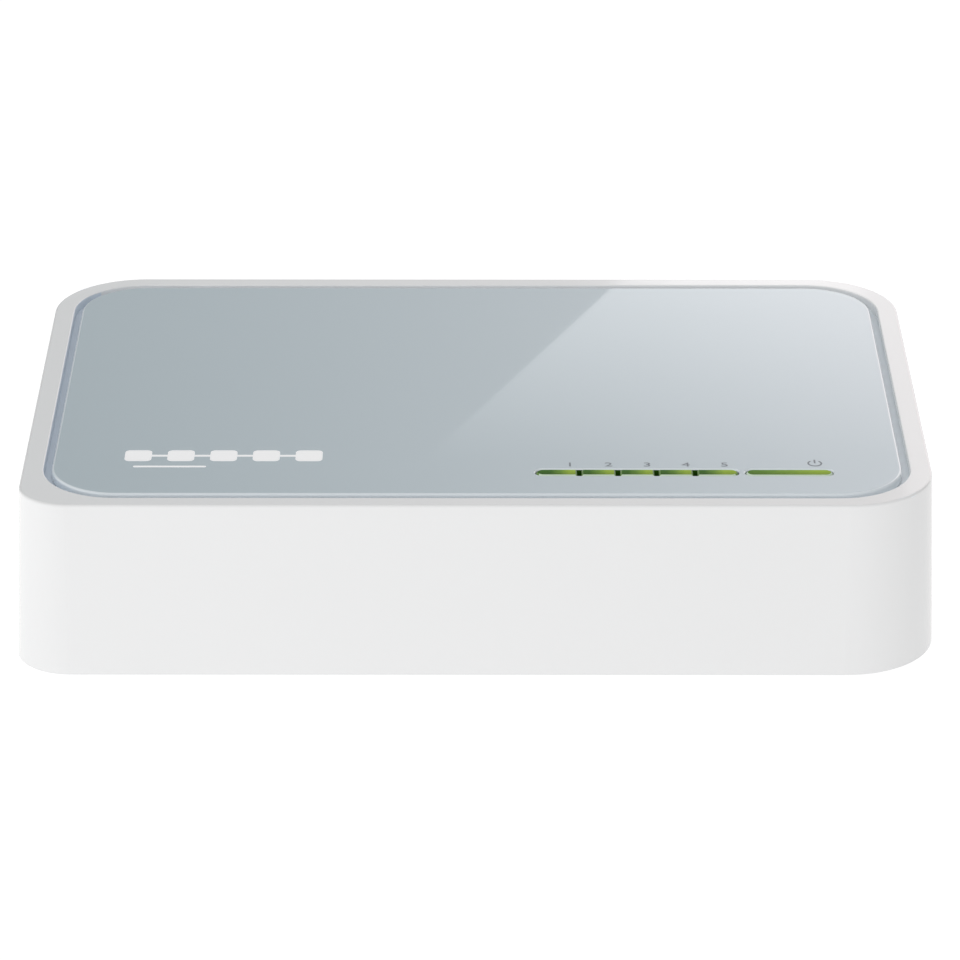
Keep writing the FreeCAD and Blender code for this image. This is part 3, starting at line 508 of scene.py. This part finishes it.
def dress_chips(name, material):
    """Faces that look along a chip's long side are its metal ends."""
    short = 0.9 * MM
    dress(name, material)
    mesh = NODES[name].data
    mesh.materials.append(LEAD_TIN)
    for face in mesh.polygons:
        corners = [mesh.vertices[i].co for i in face.vertices]
        reach = max(max(c[a] for c in corners) - min(c[a] for c in corners) for a in (0, 1))
        if abs(face.normal.z) < 0.5 and reach < short:
            face.material_index = 1


def dress_board_parts():
    lead_reach, tab_reach = 1.05 * MM, 0.45 * MM
    foot_height, lens_height = 0.71 * MM, 0.41 * MM
    for number in range(1, PORTS + 1):
        dress_package(f"magnetics_{number}", lead_reach, "Y")
    dress_package("eeprom", lead_reach, "Y")
    dress_package("regulator_ic", lead_reach, "X")
    dress_end_capped("rectifier_diode", PACKAGE_BLACK, tab_reach)
    dress_end_capped("fuse", FUSE_GREEN, tab_reach)
    low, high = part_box("inductor")
    waist = (low.z + 0.85 * MM, high.z - 1.05 * MM)
    dress("inductor", FERRITE, (COPPER, lambda c, n: waist[0] < c.z < waist[1] and abs(n.z) < 0.5))
    for name in ("capacitor_input", "capacitor_output", "capacitor_core"):
        foot_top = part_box(name)[0].z + foot_height
        dress(name, CAPACITOR_CAN, (CAPACITOR_FOOT, lambda c, n: c.z < foot_top))
    dress_chips("chip_resistors", RESISTOR)
    dress_chips("chip_capacitors", CERAMIC)
    for name in [f"led_{number}" for number in range(1, PORTS + 1)] + ["led_power"]:
        lens_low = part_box(name)[1].z - lens_height
        dress(name, LED_WHITE, (LED_LENS, lambda c, n: c.z > lens_low))


def dress_light_guides():
    """Painted glow on the green tops, painted highlights on the bevels round them and the dividers'
    sides, and painted shade, deep green, below and between them.
    """
    guides = {"port_light_guide": PORT_GUIDE_GLOW, "power_light_guide": POWER_GUIDE_GLOW}
    for name, top_material in guides.items():
        bevel_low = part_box(name)[1].z - LIGHT_BEVEL

        def on_top(c, n):
            return c.z > bevel_low and n.z > 0.99

        # The bevels take the painted highlight.
        def on_bevel(c, n):
            return c.z > bevel_low and 0.2 < n.z < 0.99

        # The dividers' bevels take the fainter painted highlight.
        def on_divider(c, n):
            return name == "port_light_guide" and 0.2 < n.z < 0.99 and abs(n.x) > abs(n.y)

        dress(
            name,
            GUIDE_PAINTED_SHADE,
            (top_material, on_top),
            (GUIDE_EDGE_HIGHLIGHT, on_bevel),
            (GUIDE_SIDE_HIGHLIGHT, on_divider),
        )


def dress_top():
    """The case with its groove, and the panel with its edge and the walls of its port window.

    The groove's floor and its left wall are painted greyer than the case, as painted shade, and the
    panel's edge is painted lighter than its face, as a painted highlight. The window's walls,
    painted dark green as painted shade, are what shows in the dark gaps between the lights.
    """
    rim_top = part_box("top_cover")[1].z
    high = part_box("top_panel")[1]
    groove_high = rim_top - 0.01 * MM

    # The groove's floor and its left wall, which looks to +x, take the painted shade.
    def in_groove(c, n):
        inside = abs(c.x) < high.x + GROOVE_WIDTH and abs(c.y) < high.y + GROOVE_WIDTH
        return inside and rim_top - GROOVE_DEPTH < c.z < groove_high and (n.z > 0.9 or n.x > 0.7)

    # The panel's rounded edge faces take the painted highlight.
    def on_edge(c, n):
        return abs(n.z) < 0.995

    row_low, row_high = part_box("port_light_guide")
    row_end = 1.3 * MM
    window_high = high.z - 0.16 * MM

    # The port window's walls take the painted shade, dark green.
    def in_window(c, n):
        in_length = row_low.x + row_end < c.x < row_high.x - row_end
        in_depth = row_low.y < c.y < row_high.y
        return in_length and in_depth and c.z < window_high and n.z < 0.97

    dress("top_cover", CASE_WHITE, (GROOVE_PAINTED_SHADE, in_groove))
    dress("top_panel", PANEL_SILVER, (PANEL_EDGE_HIGHLIGHT, on_edge), (GUIDE_PAINTED_SHADE, in_window))


dress_plain()
dress_top()
dress_light_guides()
dress_board_parts()


# ---------------------------------------------------------------- printed marks

PANEL_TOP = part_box("top_panel")[1].z


def add_piece(name, mesh, material, body=BODY):
    piece = bpy.data.objects.new(name, mesh)
    bpy.context.scene.collection.objects.link(piece)
    mesh.materials.append(material)
    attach(piece, body)
    return piece


def ink_from_outlines(name, outlines):
    """Flat ink on the top panel: each outline of (x, y) points becomes a thin slab."""
    build = bmesh.new()
    for outline in outlines:
        low = [build.verts.new((x, y, PANEL_TOP)) for x, y in outline]
        high = [build.verts.new((x, y, PANEL_TOP + INK_THICKNESS)) for x, y in outline]
        build.faces.new(low[::-1])
        build.faces.new(high)
        for i in range(len(outline)):
            j = (i + 1) % len(outline)
            build.faces.new((low[i], low[j], high[j], high[i]))
    mesh = bpy.data.meshes.new(name)
    build.to_mesh(mesh)
    build.free()
    return mesh


def rounded(x, y, width, depth, radius, steps=6):
    """A rectangle with round corners, centred on a place."""
    points = []
    for side_x, side_y, start in ((1, 1, 0), (-1, 1, 90), (-1, -1, 180), (1, -1, 270)):
        for i in range(steps + 1):
            angle = math.radians(start + 90 * i / steps)
            corner_x = x + side_x * (width / 2 - radius)
            corner_y = y + side_y * (depth / 2 - radius)
            points.append((
                corner_x + radius * math.cos(angle),
                corner_y + radius * math.sin(angle),
            ))
    return points


def arc_band(x, y, radius, width, start, end, steps=48):
    """The outline of a ring's arc, from start to end in degrees."""
    outline = []
    for side, order in ((0.5, 1), (-0.5, -1)):
        for i in range(steps + 1)[::order]:
            angle = math.radians(start + (end - start) * i / steps)
            r = radius + side * width
            outline.append((x + r * math.cos(angle), y + r * math.sin(angle)))
    return outline


def add_mark():
    """A plain pictogram of ports on one line, with a bar under it."""
    left, right = -39.7 * MM, -17.4 * MM
    low, high = -22.15 * MM, -19.11 * MM
    size = high - low
    middle = (low + high) / 2
    first = left + size / 2
    pitch = (right - left - size) / (PORTS - 1)
    squares = [rounded(first + i * pitch, middle, size, size, 0.6 * MM) for i in range(PORTS)]
    links = [
        rounded(first + (i + 0.5) * pitch, middle, pitch - size, 0.5 * MM, INK_CORNER)
        for i in range(PORTS - 1)
    ]
    bar = rounded(-34.5 * MM, -23.67 * MM, 8.2 * MM, 0.45 * MM, 0.2 * MM)
    mesh = ink_from_outlines("port_pictogram", squares + links + [bar])
    add_piece("port_pictogram", mesh, INK_WHITE_GLOW)


def add_power_symbol():
    x, y = 38.0 * MM, -22.63 * MM
    radius, stroke = 0.74 * MM, 0.2 * MM
    ring = arc_band(x, y, radius, stroke, 128, 412)
    bar = rounded(x, y + 0.5 * MM, stroke, 0.95 * MM, 0.05 * MM)
    mesh = ink_from_outlines("power_symbol", [ring, bar])
    add_piece("power_symbol", mesh, INK_GREY)


def add_digit(number, x, y):
    """One printed digit as a thin slab of ink, centred on a place."""
    curve = bpy.data.curves.new(f"digit_{number}", "FONT")
    curve.body = str(number)
    curve.align_x, curve.align_y = "CENTER", "CENTER"
    curve.size = DIGIT_HEIGHT / DIGIT_CAP_SHARE
    curve.extrude = INK_THICKNESS / 2
    curve.resolution_u = 4
    source = bpy.data.objects.new("digit_source", curve)
    bpy.context.scene.collection.objects.link(source)
    bpy.context.view_layer.update()
    evaluated = source.evaluated_get(bpy.context.evaluated_depsgraph_get())
    mesh = bpy.data.meshes.new_from_object(evaluated)
    bpy.data.objects.remove(source)
    mesh.transform(Matrix.Diagonal((DIGIT_STRETCH, 1, 1, 1)))
    mesh.transform(Matrix.Translation((x, y, PANEL_TOP + INK_THICKNESS / 2)))
    mesh.materials.clear()
    add_piece(f"printed_digit_{number}", mesh, INK_GREY)


def add_digits():
    for i in range(PORTS):
        add_digit(i + 1, (10.45 + 4.34 * i) * MM, -23.07 * MM)


add_mark()
add_power_symbol()
add_digits()


# ---------------------------------------------------------------- stage: floor, light and camera


def flat_mesh(name, corners):
    mesh = bpy.data.meshes.new(name)
    mesh.from_pydata(corners, [], [tuple(range(len(corners)))])
    thing = bpy.data.objects.new(name, mesh)
    bpy.context.scene.collection.objects.link(thing)
    return thing


def make_floor():
    """A pale floor that looks evenly white from above and can't be seen from below.

    It gives the switch less light from the right, and little from the part that the switch
    stands on.
    """
    signs = ((-1, -1), (1, -1), (1, 1), (-1, 1))
    floor = flat_mesh("floor", [(FLOOR_REACH * x, FLOOR_REACH * y, 0) for x, y in signs])
    material = bpy.data.materials.new("floor_pale")
    material.use_nodes = True
    tree = material.node_tree
    tree.nodes.clear()
    where = place(tree)
    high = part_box("top_cover")[1]
    beside = []
    for axis, edge in (("X", high.x), ("Y", high.y)):
        off = math_node(tree, "ABSOLUTE", axis_of(tree, where, axis))
        beside.append(remap(tree, off, edge - 12 * MM, edge, 0.25, 1.0))
    open_share = math_node(tree, "MAXIMUM", *beside)
    across = remap(tree, axis_of(tree, where, "X"), -0.25, 0.25, 1.0, 0.55)
    given = math_node(tree, "MULTIPLY", across, open_share)
    seen = node(tree, "ShaderNodeLightPath", output="Is Camera Ray")
    inputs = {0: seen, 2: given, 3: FLOOR_SEEN_LEVEL}
    strength = node(tree, "ShaderNodeMix", inputs, data_type="FLOAT")
    glow = node(tree, "ShaderNodeEmission", {"Color": (1, 1, 1, 1), "Strength": strength})
    diffuse = node(tree, "ShaderNodeBsdfDiffuse", {"Color": (0.30, 0.30, 0.30, 1)})
    top = node(tree, "ShaderNodeAddShader", {0: diffuse, 1: glow})
    clear = node(tree, "ShaderNodeBsdfTransparent")
    below = node(tree, "ShaderNodeNewGeometry", output="Backfacing")
    surface = node(tree, "ShaderNodeMixShader", {0: below, 1: top, 2: clear})
    set_surface(tree, "ShaderNodeOutputMaterial", surface)
    floor.data.materials.append(material)


def make_card():
    """A light card behind the switch, dim at the left and brighter at the right.

    The panel mirrors its slanted bright patch, and the right rim the bright part past the strip's
    edge.
    """
    corners = ((-1, 0), (1, 0), (1, CARD_TOP), (-1, CARD_TOP))
    card = flat_mesh("light_card", [(CARD_REACH * side, CARD_Y, z) for side, z in corners])
    card.visible_camera = False
    card.visible_shadow = False
    material = bpy.data.materials.new("card_light")
    material.use_nodes = True
    tree = material.node_tree
    tree.nodes.clear()
    where = place(tree)
    x, z = axis_of(tree, where, "X"), axis_of(tree, where, "Z")
    slope = remap(tree, x, -0.6, 0.6, 0.22, 1.2)
    inside = remap(tree, math_node(tree, "ADD", x, z), 0.7059, 0.7071)
    fade = remap(tree, z, 0.630, 0.728, 1.15, 0.0)
    patch = math_node(tree, "MULTIPLY", inside, fade)
    lean = math_node(tree, "SUBTRACT", x, math_node(tree, "MULTIPLY", z, 0.2265))
    strip = remap(tree, lean, 0.039, 0.043)
    behind = math_node(tree, "ADD", slope, patch)
    inputs = {0: strip, 2: behind, 3: STRIP_LEVEL}
    level = node(tree, "ShaderNodeMix", inputs, data_type="FLOAT")
    cool, warm = (0.90, 1.0, 1.03), (1.05, 0.98, 0.98)
    tint = ramp(tree, remap(tree, x, -0.3, 0.3), cool, warm)
    glow = node(tree, "ShaderNodeEmission", {"Color": tint, "Strength": level})
    set_surface(tree, "ShaderNodeOutputMaterial", glow)
    card.data.materials.append(material)


def make_world():
    """Soft light from all round, brighter from the left, the front and below."""
    world = bpy.data.worlds.new("studio")
    bpy.context.scene.world = world
    world.use_nodes = True
    tree = world.node_tree
    tree.nodes.clear()
    direction = node(tree, "ShaderNodeTexCoord", output="Generated")
    level = 0.92
    for axis, weight in (("X", -0.34), ("Y", -0.33), ("Z", -0.10)):
        share = math_node(tree, "MULTIPLY", axis_of(tree, direction, axis), weight)
        level = math_node(tree, "ADD", share, level)
    studio = node(tree, "ShaderNodeBackground", {"Strength": level})
    plain = node(tree, "ShaderNodeBackground", {"Strength": 1.0, "Color": (1, 1, 1, 1)})
    seen = node(tree, "ShaderNodeLightPath", output="Is Camera Ray")
    surface = node(tree, "ShaderNodeMixShader", {0: seen, 1: studio, 2: plain})
    set_surface(tree, "ShaderNodeOutputWorld", surface)


def make_camera():
    camera = bpy.data.objects.new("camera", bpy.data.cameras.new("camera"))
    bpy.context.scene.collection.objects.link(camera)
    level = math.cos(CAMERA_ELEVATION)
    look = Vector((
        math.sin(CAMERA_YAW) * level,
        math.cos(CAMERA_YAW) * level,
        -math.sin(CAMERA_ELEVATION),
    ))
    camera.location = CAMERA_AIM - look * CAMERA_DISTANCE
    camera.rotation_mode = "QUATERNION"
    camera.rotation_quaternion = look.to_track_quat("-Z", "Y") @ Quaternion((0, 0, 1), CAMERA_ROLL)
    camera.data.lens = CAMERA_LENS_MM
    bpy.context.scene.camera = camera


make_floor()
make_card()
make_world()
make_camera()
bpy.context.scene.view_settings.view_transform = "Standard"
